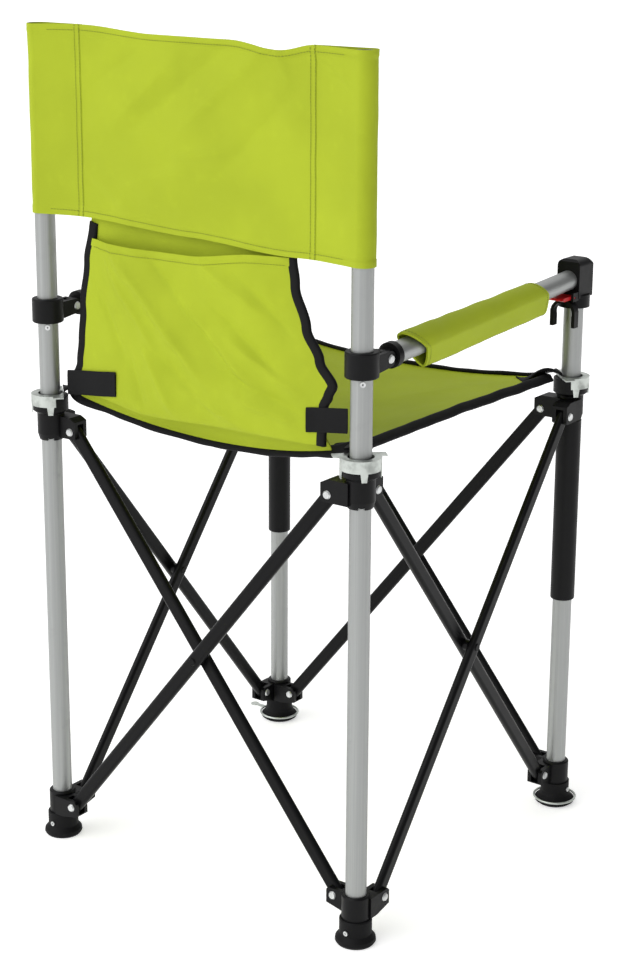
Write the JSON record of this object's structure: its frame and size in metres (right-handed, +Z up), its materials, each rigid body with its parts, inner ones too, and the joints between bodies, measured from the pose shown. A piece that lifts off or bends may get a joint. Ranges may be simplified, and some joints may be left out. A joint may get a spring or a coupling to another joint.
{
  "type": "folding camp chair",
  "caption": "High-back folding chair: tube legs joined by crossed bars with sliding hubs, lifting armrests with latches, fabric seat, backrest and back pocket.",
  "frame": {"origin": "on the floor, under the middle of the bounding box; the middle of the four legs is at x = -12.5 mm, because a tab on the left front foot ring sticks out on +X", "axes": "+Z up; the sitter faces -Y; the sitter's right is -X"},
  "size_m": [0.5512, 0.5236, 1.046],
  "materials": {
    "tube": "satin anodised, drawn lengthwise",
    "black_plastic": "moulded, slightly glossy",
    "rubber": "matt moulded",
    "galvanised": "pressed, galvanised",
    "zinc": "zinc plated",
    "bar_paint": "semi-gloss black powder coat",
    "red_plastic": "moulded",
    "fabric": "woven polyester, lime with black binding"
  },
  "bodies": {
    "back_right_leg": {"back_right_leg_tube": "tube", "back_right_lower_hub": "black_plastic", "back_right_foot": "rubber", "back_right_leg_fasteners": "zinc", "backrest": "fabric"},
    "back_left_leg": {"back_left_leg_tube": "tube", "back_left_lower_hub": "black_plastic", "back_left_foot": "rubber", "back_left_leg_fasteners": "zinc"},
    "front_right_leg": {"front_right_leg_tube": "tube", "front_right_lower_hub": "black_plastic", "front_right_foot": "rubber", "front_right_foot_ring": "galvanised", "front_right_leg_fasteners": "zinc"},
    "front_left_leg": {"front_left_leg_tube": "tube", "front_left_lower_hub": "black_plastic", "front_left_foot": "rubber", "front_left_foot_ring": "galvanised", "front_left_leg_fasteners": "zinc"},
    "back_right_hub": {"back_right_upper_hub": "black_plastic", "back_right_collar": "galvanised", "back_right_hub_rivets": "zinc", "lower_back_panel": "fabric", "back_pocket": "fabric"},
    "back_left_hub": {"back_left_upper_hub": "black_plastic", "back_left_collar": "galvanised", "back_left_hub_rivets": "zinc"},
    "front_right_hub": {"front_right_upper_hub": "black_plastic", "front_right_collar": "galvanised", "front_right_hub_rivets": "zinc", "front_right_sleeve": "black_plastic"},
    "front_left_hub": {"front_left_upper_hub": "black_plastic", "front_left_collar": "galvanised", "front_left_hub_rivets": "zinc", "front_left_sleeve": "black_plastic"},
    "right_bar_outer": {"right_bar_outer": "bar_paint"},
    "right_bar_inner": {"right_bar_inner": "bar_paint"},
    "left_bar_outer": {"left_bar_outer": "bar_paint"},
    "left_bar_inner": {"left_bar_inner": "bar_paint"},
    "back_bar_outer": {"back_bar_outer": "bar_paint"},
    "back_bar_inner": {"back_bar_inner": "bar_paint"},
    "front_bar_outer": {"front_bar_outer": "bar_paint"},
    "front_bar_inner": {"front_bar_inner": "bar_paint"},
    "right_slider": {"right_arm_slider": "black_plastic", "right_arm_rivet": "zinc"},
    "right_arm": {"right_arm_fitting": "black_plastic", "right_arm_tube": "tube", "right_arm_cap": "black_plastic", "right_arm_pad": "fabric"},
    "right_latch": {"right_latch_lever": "red_plastic"},
    "seat_right": {"seat_right_half": "fabric"},
    "left_slider": {"left_arm_slider": "black_plastic", "left_arm_rivet": "zinc"},
    "left_arm": {"left_arm_fitting": "black_plastic", "left_arm_tube": "tube", "left_arm_cap": "black_plastic", "left_arm_pad": "fabric"},
    "left_latch": {"left_latch_lever": "red_plastic"},
    "seat_left": {"seat_left_half": "fabric"}
  },
  "joints": [
    {"name": "fold", "type": "hinge", "parent": "back_right_leg", "child": "right_bar_outer", "pos_m": [-0.256, 0.2025, 0.0495], "axis": [-1, 0, 0], "range_deg": [0, 36], "deforming": ["backrest", "lower_back_panel", "back_pocket", "seat_right_half", "seat_left_half"]},
    {"name": "right_cross", "type": "hinge", "parent": "right_bar_outer", "child": "right_bar_inner", "pos_m": [-0.2475, 0, 0.30025], "axis": [-1, 0, 0], "range_deg": [-72, 0]},
    {"name": "front_right_leg_pivot", "type": "hinge", "parent": "right_bar_inner", "child": "front_right_leg", "pos_m": [-0.239, -0.2025, 0.0495], "axis": [-1, 0, 0], "range_deg": [0, 36]},
    {"name": "front_right_hub_pivot", "type": "hinge", "parent": "right_bar_outer", "child": "front_right_hub", "pos_m": [-0.256, -0.2025, 0.551], "axis": [-1, 0, 0], "range_deg": [-36, 0]},
    {"name": "back_right_hub_pivot", "type": "hinge", "parent": "right_bar_inner", "child": "back_right_hub", "pos_m": [-0.239, 0.2025, 0.551], "axis": [-1, 0, 0], "range_deg": [0, 36]},
    {"name": "back_right_leg_pivot", "type": "hinge", "parent": "back_right_leg", "child": "back_bar_inner", "pos_m": [-0.215, 0.2265, 0.0495], "axis": [0, -1, 0], "range_deg": [0, 36]},
    {"name": "back_cross", "type": "hinge", "parent": "back_bar_inner", "child": "back_bar_outer", "pos_m": [-0.0125, 0.235, 0.30025], "axis": [0, -1, 0], "range_deg": [-72, 0]},
    {"name": "back_left_leg_pivot", "type": "hinge", "parent": "back_bar_outer", "child": "back_left_leg", "pos_m": [0.19, 0.2435, 0.0495], "axis": [0, -1, 0], "range_deg": [0, 36]},
    {"name": "back_left_hub_pivot", "type": "hinge", "parent": "back_bar_inner", "child": "back_left_hub", "pos_m": [0.19, 0.2265, 0.551], "axis": [0, -1, 0], "range_deg": [-36, 0]},
    {"name": "left_bar_pivot", "type": "hinge", "parent": "back_left_leg", "child": "left_bar_inner", "pos_m": [0.214, 0.2025, 0.0495], "axis": [-1, 0, 0], "range_deg": [0, 36]},
    {"name": "left_cross", "type": "hinge", "parent": "left_bar_inner", "child": "left_bar_outer", "pos_m": [0.2225, 0, 0.30025], "axis": [-1, 0, 0], "range_deg": [-72, 0]},
    {"name": "front_left_leg_pivot", "type": "hinge", "parent": "left_bar_outer", "child": "front_left_leg", "pos_m": [0.231, -0.2025, 0.0495], "axis": [-1, 0, 0], "range_deg": [0, 36]},
    {"name": "front_left_hub_pivot", "type": "hinge", "parent": "left_bar_inner", "child": "front_left_hub", "pos_m": [0.214, -0.2025, 0.551], "axis": [-1, 0, 0], "range_deg": [-36, 0]},
    {"name": "front_bar_pivot", "type": "hinge", "parent": "front_right_leg", "child": "front_bar_outer", "pos_m": [-0.215, -0.2435, 0.0495], "axis": [0, -1, 0], "range_deg": [0, 36]},
    {"name": "front_cross", "type": "hinge", "parent": "front_bar_outer", "child": "front_bar_inner", "pos_m": [-0.0125, -0.235, 0.30025], "axis": [0, -1, 0], "range_deg": [-72, 0]},
    {"name": "right_slider_lift", "type": "slide", "parent": "back_right_leg", "child": "right_slider", "axis": [0, 0, 1], "range_m": [0, 0.07993]},
    {"name": "right_arm_lift", "type": "hinge", "parent": "right_slider", "child": "right_arm", "pos_m": [-0.2475, 0.193, 0.701], "axis": [-1, 0, 0], "range_deg": [0, 84]},
    {"name": "right_latch_press", "type": "hinge", "parent": "right_arm", "child": "right_latch", "pos_m": [-0.2475, -0.209, 0.704], "axis": [1, 0, 0], "range_deg": [0, 8], "stiffness_Nm_per_rad": 0.05, "springref_deg": -11.46},
    {"name": "left_slider_lift", "type": "slide", "parent": "back_left_leg", "child": "left_slider", "axis": [0, 0, 1], "range_m": [0, 0.07993]},
    {"name": "left_arm_lift", "type": "hinge", "parent": "left_slider", "child": "left_arm", "pos_m": [0.2225, 0.193, 0.701], "axis": [-1, 0, 0], "range_deg": [0, 84]},
    {"name": "left_latch_press", "type": "hinge", "parent": "left_arm", "child": "left_latch", "pos_m": [0.2225, -0.209, 0.704], "axis": [1, 0, 0], "range_deg": [0, 8], "stiffness_Nm_per_rad": 0.05, "springref_deg": -11.46},
    {"name": "seat_right_lift", "type": "hinge", "parent": "back_right_hub", "child": "seat_right", "pos_m": [-0.2345, 0.235, 0.592], "axis": [0, -1, 0], "range_deg": [0, 90]},
    {"name": "seat_left_lift", "type": "hinge", "parent": "back_left_hub", "child": "seat_left", "pos_m": [0.2095, 0.235, 0.592], "axis": [0, 1, 0], "range_deg": [0, 90]}
  ],
  "couplings": [
    {"joint": "right_cross", "follows": "fold", "ratio": -2},
    {"joint": "front_right_leg_pivot", "follows": "fold", "ratio": 1},
    {"joint": "front_right_hub_pivot", "follows": "fold", "ratio": -1},
    {"joint": "back_right_hub_pivot", "follows": "fold", "ratio": 1},
    {"joint": "back_right_leg_pivot", "follows": "fold", "ratio": 1},
    {"joint": "back_cross", "follows": "fold", "ratio": -2},
    {"joint": "back_left_leg_pivot", "follows": "fold", "ratio": 1},
    {"joint": "back_left_hub_pivot", "follows": "fold", "ratio": -1},
    {"joint": "left_bar_pivot", "follows": "fold", "ratio": 1},
    {"joint": "left_cross", "follows": "fold", "ratio": -2},
    {"joint": "front_left_leg_pivot", "follows": "fold", "ratio": 1},
    {"joint": "front_left_hub_pivot", "follows": "fold", "ratio": -1},
    {"joint": "front_bar_pivot", "follows": "fold", "ratio": 1},
    {"joint": "front_cross", "follows": "fold", "ratio": -2},
    {"joint": "right_slider_lift", "follows": "fold", "m_per_rad": 0.1272},
    {"joint": "right_arm_lift", "follows": "fold", "ratio": 2.3333},
    {"joint": "left_slider_lift", "follows": "fold", "m_per_rad": 0.1272},
    {"joint": "left_arm_lift", "follows": "fold", "ratio": 2.3333},
    {"joint": "seat_right_lift", "follows": "fold", "ratio": 2.5},
    {"joint": "seat_left_lift", "follows": "fold", "ratio": 2.5}
  ]
}
